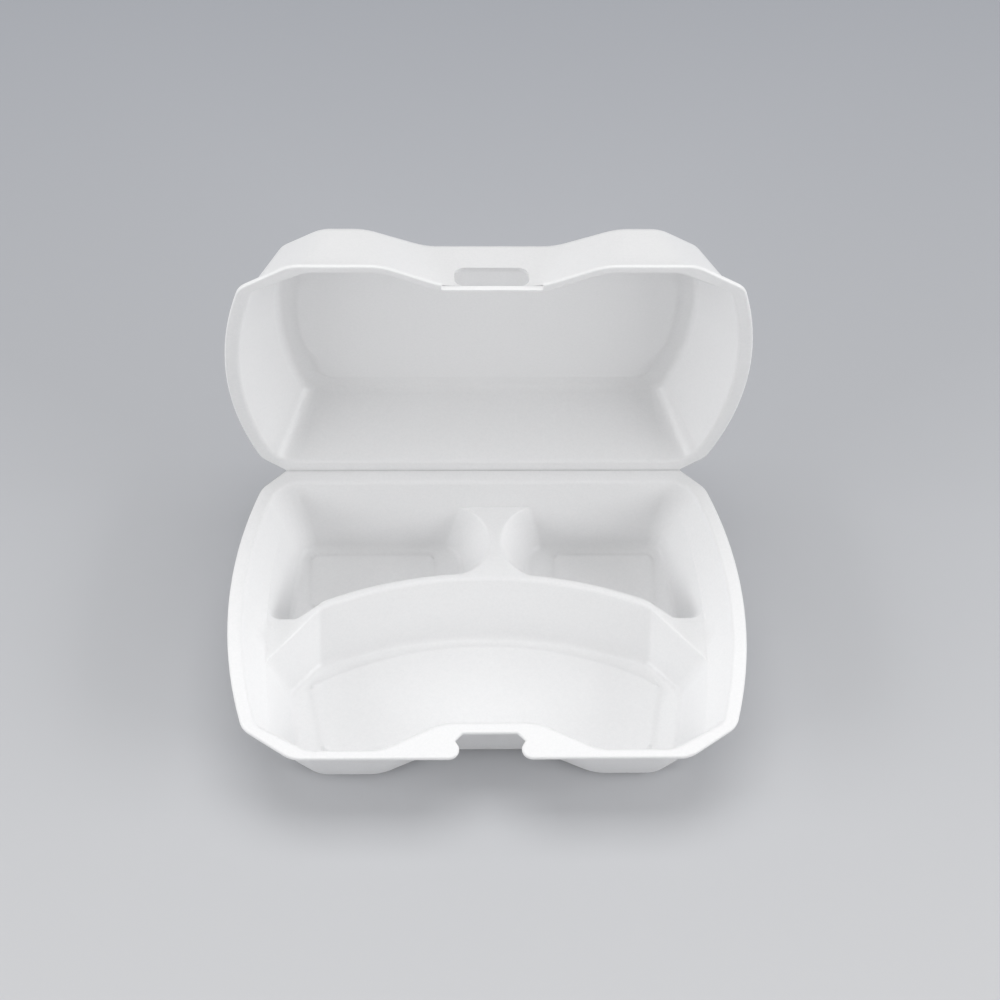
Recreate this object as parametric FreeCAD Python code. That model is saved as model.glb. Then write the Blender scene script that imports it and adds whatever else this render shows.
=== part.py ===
import FreeCAD
import Part
import math
import os
from collections import namedtuple

from FreeCAD import Vector

# Foam clamshell container: one thermoformed sheet of polystyrene foam, in millimetres.
# Outlines are drawn in plan: x to the right, reach forward from the hinge line.
# Tray and lid are each formed with the rim face at height 0 and the hollow below it, then placed.

# Foam sheet
foam = 2.2                    # thickness of the formed sheet, square to its face
rim_edge_round = 0.8          # round along the cut edge of the rim
rim_lip_round = 2.0           # round where the rim turns down into the wall
floor_round = 4.0             # inner round between wall and floor
lid_top_round = 4.0           # inner round between the lid's wall and its top
divider_round = 1.0           # how far the round along the top of the dividers reaches

# Rim outline: right half, from the hinge to the front
side_half_width = 120.0       # widest point of the whole container
side_reach = 86.0             # how far forward the widest point is
neck_half_width = 94.3        # half the length of the hinge
shoulder_inset = 14.8         # shoulder corner, in from the widest point
shoulder_reach = 10.0
shoulder_round = 12.0
hip_inset = 7.6               # hip corner, in from the widest point
hip_back = 16.0               # and back from the front edge
hip_round = 11.0
toe_inset = 30.0              # toe corner, in from the widest point
toe_round = 14.0
front_reach = 157.2

# Rim face: its width beside each side and corner of the hollow
rim_rear = 6.9
rim_side = 6.5
rim_front = 4.6
rim_shoulder = 7.7
rim_hip = 6.1
rim_hip_back = 2.2
rim_toe = 6.8
mouth_hip_round = 7.0         # front side corners of the hollow
mouth_round = 15.0            # rear corners of the hollow at the rim
ledge_round = 12.0            # the same at the top of the dividers
corner_round = 9.0            # and at the floor

# Front wave: two lobes with a bay between them for the catch
bay_back = 14.2               # how far the bay stands back from the lobes
bay_half_width = 22.0
wave_run = 27.5               # sideways run of the slope from bay to lobe
wave_round = 25.0

# Tray: levels, and how far its walls lean in from rim to floor
tray_depth = 39.2             # rim face to compartment floor
ledge_depth = 14.7            # rim face to the top of the dividers
tray_rear_draft = 11.2
tray_front_draft = 11.2
tray_bay_draft = 9.8
tray_side_draft = 21.2
tray_ledge_side_draft = 10.8  # the sides lean more above the dividers than below
tray_shoulder_draft = 11.6
tray_hip_draft = 19.3
tray_hip_back_draft = 4.5
tray_toe_draft = 6.7

# Cross divider between the front compartment and the rear ones
crest_reach = 52.1            # front edge of its top at the middle
crest_inset = 42.5            # its ends, in from the widest point of the container
crest_sweep = 16.3            # how far its ends stand forward of its middle
crest_slope = 17.3            # how far its front side leans out down to the floor
crest_slope_change = 1.2      # how much straighter the foot's sweep is
crest_round = 6.0
divider_top = 3.8             # width of its top
divider_lean = 6.5            # how far its rear side leans out
land_reach = 28.3             # diagonal end, from the crest's end to the side wall
land_lean = 3.0
land_step = 5.2               # rear edge of the flat land, forward of the crest's end
land_width = 14.0             # and its inner end, in from the side wall
land_width_lean = 2.5
bend_inset = 1.5
bend_lean = 6.0
bend_round = 12.0
land_round = 6.0

# Middle divider between the two rear compartments
neck_x = 5.5                  # it stands a little right of the centre
neck_half = 2.9               # half its width where it is narrowest
neck_reach = 33.0
neck_head = 17.0              # half its width at the rear wall
neck_foot = 16.0              # half its width at the cross divider
neck_lean = 12.5              # how far its sides lean out down to the floor
neck_head_lean = 6.0
neck_foot_lean = 8.0
neck_round = 5.0

# Raised floor panels
panel_rise = 1.2
panel_band = 4.2              # flat band between wall and panel, at the back and front
panel_side_band = 9.8         # the same at the sides
panel_sweep = 22.0            # how far the front panel's rear corners stand forward of its middle
panel_edge = 1.8              # slope of the panel's edge in plan
panel_round = 3.0             # its corners

# Catch notch in the tray's rim
notch_back = 13.1             # how far the notch runs back from the front edge
notch_half_width = 12.5
notch_cusp_half_width = 16.0
notch_cusp_back = 9.3
notch_cusp_round = 0.6
notch_waist_half_width = 14.2
notch_waist_back = 6.0
notch_round = 2.2
notch_ear_round = 5.0

# Lid: depth, and how far its walls lean in from rim to top
lid_depth = 33.6              # rim face to the inside of the top
lid_rear_draft = 13.7
lid_side_draft = 17.0
lid_shoulder_draft = 13.0
lid_hip_draft = 14.3
lid_hip_back_draft = 11.5
lid_toe_draft = 8.2
lid_front_draft = 12.8
lid_bay_draft = 10.9
lid_wave_spread = 8.0         # how far the wave moves sideways up the wall
lid_bay_rim = 4.8             # rim face width along the wave
lid_panel_rise = 1.0
lid_panel_band = 8.0
lid_open_angle = 90.0         # angle between the two rim faces as the container stands

# Catch window in the lid's front wall, and the slit behind the strap of rim below it
window_width = 33.3
window_low = 2.9
window_high = 16.8
window_round = 5.0
slit_width = 45.0             # the strap's length, too
slit_height = 0.9

# Hinge: the foam is crushed thin from outside along the fold
hinge_gap = 0.3               # between the two rim faces when the container is closed
hinge_web = 0.8
hinge_crush = 3.0

wall = foam * 1.12            # horizontal thickness of a leaning wall
foot_grow = foam * 0.7        # outer outline against the inner one, a sheet's thickness lower
round_steps = ((1, 0), (0.3, 0.3), (0, 1))  # a round in flats: shares of its reach up and across
overrun = 5.0                 # how far cutters run past what they cut

tray_height = tray_depth + foam
lid_height = lid_depth + foam
hinge_y = (front_reach - lid_height - hinge_gap / 2) / 2
hinge_z = tray_height + hinge_gap / 2

mouth_shoulder = side_half_width - shoulder_inset - rim_shoulder
mouth_side = side_half_width - rim_side
mouth_hip = side_half_width - hip_inset - rim_hip
mouth_hip_reach = front_reach - hip_back - rim_hip_back
mouth_toe = side_half_width - toe_inset - rim_toe
lobe_half_width = bay_half_width + wave_run
lobe_reach = front_reach - rim_front
bay_reach = lobe_reach - bay_back
crest_half_width = side_half_width - crest_inset
crest_radius = (crest_half_width ** 2 + crest_sweep ** 2) / (2 * crest_sweep)

# How far a hollow's outline is drawn in from the mouth, side by side, at one level
Level = namedtuple("Level", "depth rear side shoulder hip hip_back toe front bay spread round")
mouth = Level(0, 0, 0, 0, 0, 0, 0, 0, 0, 0, mouth_round)
floor = Level(tray_depth, tray_rear_draft, tray_side_draft, tray_shoulder_draft, tray_hip_draft,
              tray_hip_back_draft, tray_toe_draft, tray_front_draft, tray_bay_draft, 0, corner_round)
ledge = Level(*[draft * ledge_depth / tray_depth for draft in floor])
ledge = ledge._replace(side=tray_ledge_side_draft, round=ledge_round)
lid_top = Level(lid_depth, lid_rear_draft, lid_side_draft, lid_shoulder_draft, lid_hip_draft,
                lid_hip_back_draft, lid_toe_draft, lid_front_draft, lid_bay_draft,
                lid_wave_spread, corner_round)


def between(near, far, share):
    """The level that lies this share of the way from near to far."""
    return Level(*[start + (end - start) * share for start, end in zip(near, far)])


def plan(x, reach, height=0.0):
    """A point from its place in plan and its height above the rim face."""
    return Vector(x, -reach, height)


def true_arc(edge):
    """The edge, or where it is neither straight nor round the arc through its ends and middle."""
    if edge.Curve.TypeId in ("Part::GeomLine", "Part::GeomCircle"):
        return edge
    first, last = edge.ParameterRange
    return Part.Arc(*[edge.valueAt(u) for u in (first, (first + last) / 2, last)]).toShape()


def outline(corners, height=0.0):
    """Closed wire, anticlockwise from above, from corners of (x, reach, round, via).

    The edge from a corner to the next one is straight, or an arc through via.
    """
    points = [plan(x, reach) for x, reach, _, _ in corners]
    edges = []
    for start, end, corner in zip(points, points[1:] + points[:1], corners):
        if corner[3] is None:
            edges.append(Part.LineSegment(start, end).toShape())
        else:
            edges.append(Part.Arc(start, plan(*corner[3]), end).toShape())
    block = Part.Face(Part.Wire(edges)).extrude(Vector(0, 0, 1))
    for point, corner in zip(points, corners):
        if corner[2] > 0:
            middle = point + Vector(0, 0, 0.5)
            upright = [e for e in block.Edges if e.CenterOfMass.distanceToPoint(middle) < 1e-3]
            block = block.makeFillet(corner[2], upright)
    foot = min(block.Faces, key=lambda face: face.CenterOfMass.z).OuterWire
    wire = Part.Wire([true_arc(edge) for edge in foot.OrderedEdges])
    wire.translate(Vector(0, 0, height))
    return wire


def both_sides(half, rear_via=None):
    """The corners of a whole outline from its right half, which runs from rear to front."""
    left = [(-x, reach, r, via and (-via[0], via[1])) for x, reach, r, via in half]
    vias = [rear_via] + [corner[3] for corner in half[:-1]]
    right = [(x, reach, r, via) for (x, reach, r, _), via in zip(half, vias)]
    return left + right[::-1]


def grown(wire, distance):
    """The wire moved outwards in its own plane."""
    return wire.makeOffset2D(distance, 0, False, False, True)


def tapered(lower, upper):
    """Solid with straight sides between two outlines of the same make-up."""
    return Part.makeLoft([lower, upper], True, True)


def prism(wire, height):
    return Part.Face(wire).extrude(Vector(0, 0, height))


def edges_at(shape, height):
    """Edges of a shape that lie flat at one height."""
    return [
        e for e in shape.Edges
        if abs(e.BoundBox.ZMin - height) < 1e-4 and abs(e.BoundBox.ZMax - height) < 1e-4
    ]


def rounded_foot(solid, depth, radius):
    """The solid with the edge round its lowest face rounded."""
    return solid.makeFillet(radius, edges_at(solid, -depth))


def side_points(level):
    """Rear corner, widest point and hip of a hollow's bowed side."""
    return (
        (mouth_shoulder - level.shoulder, rim_rear + level.rear),
        (mouth_side - level.side, side_reach),
        (mouth_hip - level.hip, mouth_hip_reach - level.hip_back),
    )


def side_x(level, reach):
    """x on a hollow's bowed side at one reach."""
    circle = Part.Arc(*[plan(*point) for point in side_points(level)]).toShape().Curve
    return circle.Center.x + math.sqrt(circle.Radius ** 2 - (reach + circle.Center.y) ** 2)


def front_half(level, band=0.0, side_band=0.0):
    """Right half of a hollow's outline from the hip to the middle of the bay."""
    hip = side_points(level)[2]
    lobe = lobe_reach - level.front - band
    return [
        (hip[0] - side_band, hip[1] - band, mouth_hip_round, None),
        (mouth_toe - level.toe - side_band / 2, lobe, toe_round, None),
        (lobe_half_width + level.spread, lobe, wave_round, None),
        (bay_half_width + level.spread, bay_reach - level.bay - band, wave_round, None),
    ]


def whole_hollow(level, band=0.0):
    """A hollow's whole outline at one level, or a panel's, a band inside it."""
    rear, widest, _ = side_points(level)
    corner = (rear[0] - band, rear[1] + band, level.round, (widest[0] - band, widest[1]))
    return both_sides([corner] + front_half(level, band, band))


def front_compartment(level, lean, opened):
    """The large front compartment, whose lean is 0 at the top of the divider and 1 at the floor.

    opened is how far the round on the divider takes the edge back.
    """
    crest = crest_reach + crest_slope * lean - opened
    sweep = crest_sweep - crest_slope_change * lean
    land = crest_reach + crest_sweep + land_reach + land_lean * lean - opened
    middle = (land + side_points(level)[2][1]) / 2
    half = [
        (crest_half_width, crest + sweep, crest_round, None),
        (side_x(level, land), land, corner_round, (side_x(level, middle), middle)),
    ]
    return both_sides(half + front_half(level), (0, crest))


def front_panel():
    """Raised panel in the front compartment's floor."""
    crest = crest_reach + crest_slope + panel_band
    x = mouth_side - floor.side - panel_side_band
    corner = (x, crest + panel_sweep, panel_round, None)
    return both_sides([corner] + front_half(floor, panel_band, panel_side_band), (0, crest))


def behind_crest(x, distance):
    """Reach on the arc that runs a distance behind the divider's curved front edge."""
    return crest_reach + crest_radius - math.sqrt((crest_radius + distance) ** 2 - x ** 2)


def rear_compartment(level, lean, opened, neck):
    """The right-hand rear compartment, with lean and opened as for the front one.

    neck is the place of the middle divider, which bounds the compartment's inner side.
    """
    head = neck + neck_head + neck_head_lean * lean - opened
    foot = neck + neck_foot + neck_foot_lean * lean - opened
    waist = neck + neck_half + neck_lean * lean - opened
    behind = divider_top + divider_lean * lean - opened
    bend = crest_half_width - bend_inset - bend_lean * lean
    ridge = (foot + bend) / 2
    land = crest_reach + crest_sweep + land_step - divider_lean * lean + opened
    land_x = side_x(level, land) - land_width + land_width_lean * lean
    rear = side_points(level)[0]
    middle = (rear[1] + land) / 2
    return [
        (rear[0], rear[1], level.round, None),
        (head, rear[1], neck_round, (waist, neck_reach)),
        (foot, behind_crest(foot, behind), neck_round, (ridge, behind_crest(ridge, behind))),
        (bend, behind_crest(bend, behind), bend_round, None),
        (land_x, land, land_round, None),
        (side_x(level, land), land, land_round, (side_x(level, middle), middle)),
    ]


def rear_panel(neck):
    """Raised panel in the right-hand rear compartment's floor."""
    rear = rim_rear + floor.rear + panel_band
    inner = neck + neck_foot + neck_foot_lean + panel_band
    outer = mouth_side - floor.side - panel_side_band
    behind = divider_top + divider_lean + panel_band
    middle = (inner + outer) / 2
    return [
        (outer, rear, panel_round, None),
        (inner, rear, panel_round, None),
        (inner, behind_crest(inner, behind), panel_round, (middle, behind_crest(middle, behind))),
        (outer, behind_crest(outer, behind), panel_round, None),
    ]


def compartment(corners, *place):
    """Inner and outer solid of one compartment; corners gives its outline at one level."""
    top = outline(corners(ledge, 0, 0, *place), -ledge_depth - foam)
    bottom = outline(corners(floor, 1, 0, *place), -tray_height)
    outer = tapered(grown(bottom, foot_grow), grown(top, foot_grow))
    bottom.translate(Vector(0, 0, foam))
    sections = [bottom]
    for down, opened in round_steps:
        lean = down * divider_round / (tray_depth - ledge_depth)
        level = between(ledge, floor, lean)
        edge = corners(level, lean, opened * divider_round, *place)
        sections.append(outline(edge, -level.depth))
    inner = Part.makeLoft(sections, True, True)
    return (
        rounded_foot(inner, tray_depth, floor_round),
        rounded_foot(outer, tray_height, floor_round + foam),
    )


def panel(corners, depth, rise):
    """Raised panel: a low frustum on the inside of a floor or top."""
    foot = outline(corners, -depth)
    return tapered(foot, grown(outline(corners, rise - depth), -panel_edge))


def rim_plate(front_corners, cutter=None):
    """Flat rim with its cut edge rounded, the hinge edge left square."""
    half = [
        (neck_half_width, hinge_gap / 2, 0, None),
        (side_half_width - shoulder_inset, shoulder_reach, shoulder_round,
         (side_half_width, side_reach)),
        (side_half_width - hip_inset, front_reach - hip_back, hip_round, None),
        (side_half_width - toe_inset, front_reach, toe_round, None),
    ]
    plate = prism(outline(both_sides(half + front_corners)), -foam)
    if cutter:
        plate = plate.cut(cutter)
        ears = [
            e for e in plate.Edges
            if abs(e.Length - foam) < 1e-3 and abs(e.CenterOfMass.y + front_reach) < 1e-3
            and abs(e.CenterOfMass.x) < toe_inset
        ]
        plate = plate.makeFillet(notch_ear_round, ears)
    loose = [e for e in edges_at(plate, 0) + edges_at(plate, -foam) if e.CenterOfMass.y < -hinge_gap]
    return plate.makeFillet(rim_edge_round, loose)


def notch_cutter():
    half = [
        (notch_half_width, front_reach - notch_back, notch_round, None),
        (notch_cusp_half_width, front_reach - notch_cusp_back, notch_cusp_round, None),
        (notch_waist_half_width, front_reach - notch_waist_back, notch_round, None),
        (notch_waist_half_width, front_reach + overrun, 0, None),
    ]
    return prism(outline(both_sides(half), -tray_height), tray_height + overrun)


def hinge_cutter():
    """Wedge below the rim's rear edge, where the foam is crushed down to the web."""
    profile = [
        (-overrun, -hinge_web), (hinge_gap / 2, -hinge_web),
        (hinge_gap / 2 + hinge_crush, -foam), (hinge_gap / 2 + hinge_crush, -foam - overrun),
        (-overrun, -foam - overrun),
    ]
    points = [plan(-side_half_width, reach, height) for reach, height in profile]
    face = Part.Face(Part.makePolygon(points + points[:1]))
    return face.extrude(Vector(2 * side_half_width, 0, 0))


def bay_block(width, low, high, start=side_reach):
    """Cutter over the bay from one reach forward, between two depths below the rim face."""
    corner = Vector(-width / 2, -front_reach, -high)
    return Part.makeBox(width, front_reach - start, high - low, corner)


def catch_cutters():
    """Window in the front wall, slit below it, and the trim that leaves the strap between slit and face."""
    window = bay_block(window_width, window_low, window_high)
    along = [e for e in window.Edges if abs(e.Length - front_reach + side_reach) < 1e-6]
    slit = bay_block(slit_width, foam, foam + slit_height)
    trim = bay_block(slit_width, -overrun, foam + slit_height, bay_reach + wall)
    return [window.makeFillet(window_round, along), slit, trim]


def softened(shape, radius, edges):
    """The shape with these edges rounded."""
    return shape.makeFillet(radius, edges)


def lip_edges(shape):
    """Edges where the rim face turns down into the hollow."""
    mouth_edges = outline(whole_hollow(mouth)).Edges
    return [
        e for e in edges_at(shape, 0)
        if any(e.CenterOfMass.distanceToPoint(m.CenterOfMass) < 1e-2 for m in mouth_edges)
    ]


def make_tray():
    basin = tapered(outline(whole_hollow(ledge), -ledge_depth), outline(whole_hollow(mouth)))
    shell = rim_plate([], notch_cutter()).fuse(tapered(
        grown(outline(whole_hollow(ledge), -ledge_depth - foam), foot_grow),
        grown(outline(whole_hollow(mouth)), wall),
    ))
    front_inner, front_outer = compartment(front_compartment)
    floor_panel = panel(front_panel(), tray_depth, panel_rise)
    inners = [front_inner.cut(floor_panel)]
    outers = [front_outer.cut(floor_panel.translated(Vector(0, 0, -foam)))]
    for neck in (neck_x, -neck_x):
        inner, outer = compartment(rear_compartment, neck)
        raised = panel(rear_panel(neck), tray_depth, panel_rise)
        inner = inner.cut(raised)
        outer = outer.cut(raised.translated(Vector(0, 0, -foam)))
        if neck < 0:
            inner = inner.mirror(Vector(0, 0, 0), Vector(1, 0, 0))
            outer = outer.mirror(Vector(0, 0, 0), Vector(1, 0, 0))
        inners.append(inner)
        outers.append(outer)
    shell = shell.fuse(outers)
    formed = shell.cut(basin.fuse(inners))
    formed = softened(formed, rim_lip_round, lip_edges(formed))
    return formed.cut(hinge_cutter())


def make_lid():
    bay_rim = [
        (lobe_half_width, front_reach, wave_round, None),
        (bay_half_width, bay_reach + lid_bay_rim, wave_round, None),
    ]
    top = outline(whole_hollow(lid_top), -lid_depth)
    hollow = rounded_foot(tapered(top, outline(whole_hollow(mouth))), lid_depth, lid_top_round)
    outside = tapered(
        grown(outline(whole_hollow(lid_top), -lid_height), foot_grow),
        grown(outline(whole_hollow(mouth)), wall),
    )
    outside = rounded_foot(outside, lid_height, lid_top_round + foam)
    top_panel = panel(whole_hollow(lid_top, lid_panel_band), lid_depth, lid_panel_rise)
    shell = rim_plate(bay_rim).fuse(outside.cut(top_panel.translated(Vector(0, 0, -foam))))
    formed = shell.cut(hollow.cut(top_panel))
    formed = softened(formed, rim_lip_round, lip_edges(formed))
    return formed.cut(catch_cutters() + [hinge_cutter()])


def in_place(formed, turn):
    """A formed half on the hinge line, turned up from lying flat open."""
    placed = formed.copy()
    placed.rotate(Vector(0, 0, 0), Vector(1, 0, 0), turn)
    placed.translate(Vector(0, hinge_y, hinge_z))
    return placed


os.makedirs("parts", exist_ok=True)

tray = make_tray()
tray.translate(Vector(0, hinge_y, tray_height))
tray.exportStep("parts/tray.step")

# The lid lies flat open behind the tray when turned half round the upright axis
lid = make_lid()
lid.translate(Vector(0, 0, -hinge_gap / 2))
lid.rotate(Vector(0, 0, 0), Vector(0, 0, 1), 180)
lid = in_place(lid, 180 - lid_open_angle)
lid.exportStep("parts/lid.step")
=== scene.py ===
import bpy
import bmesh
import math
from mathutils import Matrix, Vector


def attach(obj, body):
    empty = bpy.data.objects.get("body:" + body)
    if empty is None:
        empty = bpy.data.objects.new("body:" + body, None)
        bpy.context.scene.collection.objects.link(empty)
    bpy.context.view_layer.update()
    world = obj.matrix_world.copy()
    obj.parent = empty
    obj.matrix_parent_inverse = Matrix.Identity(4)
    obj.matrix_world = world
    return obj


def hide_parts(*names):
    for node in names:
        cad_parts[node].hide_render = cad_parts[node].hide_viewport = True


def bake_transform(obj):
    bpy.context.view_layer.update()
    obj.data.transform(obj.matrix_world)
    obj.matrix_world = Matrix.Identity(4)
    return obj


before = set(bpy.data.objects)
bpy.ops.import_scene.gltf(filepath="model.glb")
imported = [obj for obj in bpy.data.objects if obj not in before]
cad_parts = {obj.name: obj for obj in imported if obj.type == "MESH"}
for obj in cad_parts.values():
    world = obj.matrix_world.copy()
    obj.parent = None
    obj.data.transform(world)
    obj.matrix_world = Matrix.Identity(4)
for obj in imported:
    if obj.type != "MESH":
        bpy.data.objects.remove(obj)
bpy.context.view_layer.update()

# Camera: a long lens from above and in front, a little to the left, tipped by about two degrees
camera = bpy.data.objects.new("camera", bpy.data.cameras.new("camera"))
camera.data.lens = 125.75
camera.data.sensor_width = 36
camera.data.clip_start = 0.1
camera.location = (-0.05924, -0.87875, 1.41249)
camera.rotation_euler = [math.radians(angle) for angle in (33.9557, -1.8502, -1.3949)]
bpy.context.scene.collection.objects.link(camera)
bpy.context.scene.camera = camera


# Tray
# The lower half of the container: one sheet of polystyrene foam, thermoformed to a large compartment
# in front and two small ones behind, with a flat rim and a catch notch. Its skin is smooth and satin,
# and the fine closed cells show through it.
sharp_fold = math.radians(60)
joined_within = 1e-6


def foam_copy(name):
    """A node's mesh with its corners joined, smooth except at sharp folds."""
    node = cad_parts[name]
    mesh = bmesh.new()
    mesh.from_mesh(node.data)
    bmesh.ops.remove_doubles(mesh, verts=mesh.verts, dist=joined_within)
    for face in mesh.faces:
        face.smooth = True
    for edge in mesh.edges:
        edge.smooth = len(edge.link_faces) == 2 and edge.calc_face_angle(0) < sharp_fold
    data = bpy.data.meshes.new(name + "_foam")
    mesh.to_mesh(data)
    mesh.free()
    piece = bpy.data.objects.new(name + "_foam", data)
    bpy.context.scene.collection.objects.link(piece)
    even = piece.modifiers.new("even shading", "WEIGHTED_NORMAL")
    even.keep_sharp = True
    return piece


def foam_cells():
    """Node group for foam sheet: its fine cells as colour and height, with a slight waviness."""
    group = bpy.data.node_groups.new("foam_cells", "ShaderNodeTree")
    for name, kind, way in (
        ("Cell Size", "NodeSocketFloat", "INPUT"),
        ("Pale", "NodeSocketColor", "INPUT"),
        ("Deep", "NodeSocketColor", "INPUT"),
        ("Color", "NodeSocketColor", "OUTPUT"),
        ("Height", "NodeSocketFloat", "OUTPUT"),
        ("Roughness", "NodeSocketFloat", "OUTPUT"),
    ):
        group.interface.new_socket(name, in_out=way, socket_type=kind)
    nodes, link = group.nodes, group.links.new
    inputs, outputs = nodes.new("NodeGroupInput"), nodes.new("NodeGroupOutput")
    where = nodes.new("ShaderNodeTexCoord")

    per_metre = nodes.new("ShaderNodeMath")
    per_metre.operation = "DIVIDE"
    per_metre.inputs[0].default_value = 1
    link(inputs.outputs["Cell Size"], per_metre.inputs[1])

    cells = nodes.new("ShaderNodeTexVoronoi")
    link(where.outputs["Object"], cells.inputs["Vector"])
    link(per_metre.outputs[0], cells.inputs["Scale"])

    # Clusters of cells a millimetre or two across let more or less light through
    clusters = nodes.new("ShaderNodeTexNoise")
    clusters.inputs["Scale"].default_value = 750
    clusters.inputs["Detail"].default_value = 3
    clusters.inputs["Roughness"].default_value = 0.6
    link(where.outputs["Object"], clusters.inputs["Vector"])

    mottle = nodes.new("ShaderNodeMath")
    mottle.operation = "MULTIPLY_ADD"
    mottle.inputs[1].default_value = 0.35
    link(cells.outputs["Distance"], mottle.inputs[0])
    link(clusters.outputs["Fac"], mottle.inputs[2])

    shade = nodes.new("ShaderNodeMapRange")
    shade.inputs["From Min"].default_value = 0.45
    shade.inputs["From Max"].default_value = 0.95
    link(mottle.outputs[0], shade.inputs["Value"])

    tint = nodes.new("ShaderNodeMix")
    tint.data_type = "RGBA"
    link(shade.outputs["Result"], tint.inputs["Factor"])
    link(inputs.outputs["Pale"], tint.inputs["A"])
    link(inputs.outputs["Deep"], tint.inputs["B"])
    link(tint.outputs["Result"], outputs.inputs["Color"])

    # The sheet is never quite flat after forming
    waves = nodes.new("ShaderNodeTexNoise")
    waves.inputs["Scale"].default_value = 30
    waves.inputs["Detail"].default_value = 1
    link(where.outputs["Object"], waves.inputs["Vector"])

    swell = nodes.new("ShaderNodeMath")
    swell.operation = "MULTIPLY_ADD"
    swell.inputs[1].default_value = 5
    link(waves.outputs["Fac"], swell.inputs[0])
    link(mottle.outputs[0], swell.inputs[2])
    link(swell.outputs[0], outputs.inputs["Height"])

    gloss = nodes.new("ShaderNodeMapRange")
    gloss.inputs["To Min"].default_value = 0.26
    gloss.inputs["To Max"].default_value = 0.38
    link(clusters.outputs["Fac"], gloss.inputs["Value"])
    link(gloss.outputs["Result"], outputs.inputs["Roughness"])
    return group


def foam_material(name, cell_size, pale, deep, relief):
    """White foam whose cells have this size in metres and stand out by this relief."""
    material = bpy.data.materials.new(name)
    material.use_nodes = True
    nodes, link = material.node_tree.nodes, material.node_tree.links.new
    shader = nodes["Principled BSDF"]
    shader.inputs["IOR"].default_value = 1.45
    shader.inputs["Specular IOR Level"].default_value = 0.5
    shader.inputs["Subsurface Weight"].default_value = 0.3
    shader.inputs["Subsurface Radius"].default_value = (1.0, 1.0, 1.0)
    shader.inputs["Subsurface Scale"].default_value = 0.002
    cells = nodes.new("ShaderNodeGroup")
    cells.node_tree = foam_cells()
    cells.inputs["Cell Size"].default_value = cell_size
    cells.inputs["Pale"].default_value = (*pale, 1)
    cells.inputs["Deep"].default_value = (*deep, 1)
    bump = nodes.new("ShaderNodeBump")
    bump.inputs["Strength"].default_value = 1
    bump.inputs["Distance"].default_value = relief
    link(cells.outputs["Height"], bump.inputs["Height"])
    link(cells.outputs["Color"], shader.inputs["Base Color"])
    link(cells.outputs["Roughness"], shader.inputs["Roughness"])
    link(bump.outputs["Normal"], shader.inputs["Normal"])
    return material


foam_white = foam_material("foam_white", 0.0007, (0.88, 0.88, 0.885), (0.845, 0.848, 0.855), 0.00003)

tray = foam_copy("tray")
tray.data.materials.append(foam_white)
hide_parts("tray")
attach(tray, "tray")


# Lid
# The upper half of the same sheet, formed to a plain dome with a raised top panel. The catch window and
# the slit behind its strap are punched out of the front wall after forming.
lid = foam_copy("lid")
lid.data.materials.append(foam_white)
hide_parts("lid")
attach(lid, "lid")


# Fold
# The web between tray and lid: the same foam, crushed to a thin strip that bends each time the lid is
# turned. It is part of the same sheet and crosses the joint, drawn here as a fixed quarter turn.
hinge_y, hinge_z = 0.060625, 0.04155
web_inner, web_outer = 0.00016, 0.00092
web_half_length = 0.0938
web_turn = math.radians(90)
web = bmesh.new()
strip = [
    web.verts.new((x, hinge_y, hinge_z - radius))
    for x, radius in (
        (-web_half_length, web_inner), (web_half_length, web_inner),
        (web_half_length, web_outer), (-web_half_length, web_outer),
    )
]
web.faces.new(strip)
bmesh.ops.spin(
    web, geom=web.verts[:] + web.edges[:] + web.faces[:], cent=(0, hinge_y, hinge_z), axis=(1, 0, 0),
    angle=web_turn, steps=8,
)
bmesh.ops.recalc_face_normals(web, faces=web.faces)
for face in web.faces:
    face.smooth = abs(face.normal.x) < 0.5
for edge in web.edges:
    edge.smooth = len(edge.link_faces) == 2 and edge.calc_face_angle(0) < sharp_fold
web_data = bpy.data.meshes.new("fold_web")
web.to_mesh(web_data)
web.free()
fold_web = bpy.data.objects.new("fold_web", web_data)
bpy.context.scene.collection.objects.link(fold_web)
web_data.materials.append(foam_white)
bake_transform(fold_web)
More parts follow.
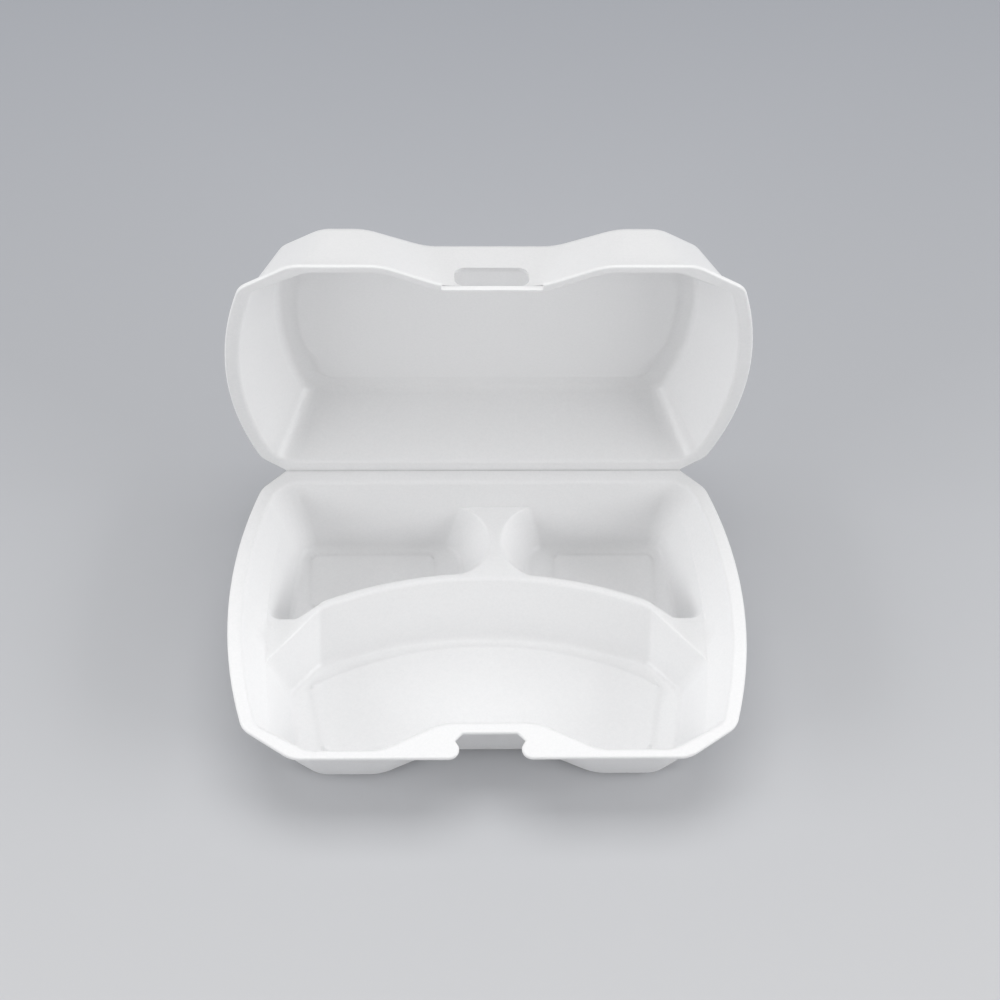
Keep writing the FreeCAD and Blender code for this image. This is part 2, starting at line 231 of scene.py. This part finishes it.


# Floor and light
# A plain pale grey table top that is its own backdrop. Its colour is painted darker towards the back:
# painted shade where the light falls off. The light is an even room with a large soft lamp above and
# behind, and one on each side.
floor = bmesh.new()
bmesh.ops.create_grid(floor, x_segments=1, y_segments=1, size=4)
floor_data = bpy.data.meshes.new("floor")
floor.to_mesh(floor_data)
floor.free()
table = bpy.data.objects.new("floor", floor_data)
bpy.context.scene.collection.objects.link(table)
table_grey = bpy.data.materials.new("table_grey")
table_grey.use_nodes = True
table_nodes, table_link = table_grey.node_tree.nodes, table_grey.node_tree.links.new
table_shader = table_nodes["Principled BSDF"]
table_where = table_nodes.new("ShaderNodeTexCoord")
table_axes = table_nodes.new("ShaderNodeSeparateXYZ")
table_link(table_where.outputs["Object"], table_axes.inputs["Vector"])
# Painted shade: the grey is mixed darker from front to back to stand in for the light falling off
painted_falloff = table_nodes.new("ShaderNodeMapRange")
painted_falloff.inputs["From Min"].default_value = -0.25
painted_falloff.inputs["From Max"].default_value = 0.5
table_link(table_axes.outputs["Y"], painted_falloff.inputs["Value"])
grey_with_painted_shade = table_nodes.new("ShaderNodeMix")
grey_with_painted_shade.data_type = "RGBA"
grey_with_painted_shade.inputs["A"].default_value = (0.62, 0.625, 0.64, 1)
grey_with_painted_shade.inputs["B"].default_value = (0.34, 0.355, 0.39, 1)
table_link(painted_falloff.outputs["Result"], grey_with_painted_shade.inputs["Factor"])
table_link(grey_with_painted_shade.outputs["Result"], table_shader.inputs["Base Color"])
table_shader.inputs["Roughness"].default_value = 0.6
table_shader.inputs["Specular IOR Level"].default_value = 0.2
floor_data.materials.append(table_grey)

world = bpy.data.worlds.new("soft_room")
world.use_nodes = True
world.node_tree.nodes["Background"].inputs["Color"].default_value = (1, 1, 1, 1)
world.node_tree.nodes["Background"].inputs["Strength"].default_value = 0.38
bpy.context.scene.world = world


def soft_lamp(name, place, aim, size, power):
    """Rectangular lamp at one place, aimed at another, with its size in metres and power in watts."""
    light = bpy.data.lights.new(name, "AREA")
    light.shape = "RECTANGLE"
    light.size, light.size_y = size
    light.energy = power
    lamp = bpy.data.objects.new(name, light)
    lamp.location = place
    lamp.rotation_euler = (Vector(aim) - Vector(place)).to_track_quat("-Z", "Y").to_euler()
    bpy.context.scene.collection.objects.link(lamp)


soft_lamp("overhead", (0, 0.55, 1.7), (0, 0, 0), (1.6, 1.0), 14)
soft_lamp("left", (-1.7, -0.5, 0.75), (0, 0, 0.05), (1.4, 0.8), 15)
soft_lamp("right", (1.7, -0.5, 0.75), (0, 0, 0.05), (1.4, 0.8), 17)

bpy.context.scene.view_settings.view_transform = "Standard"
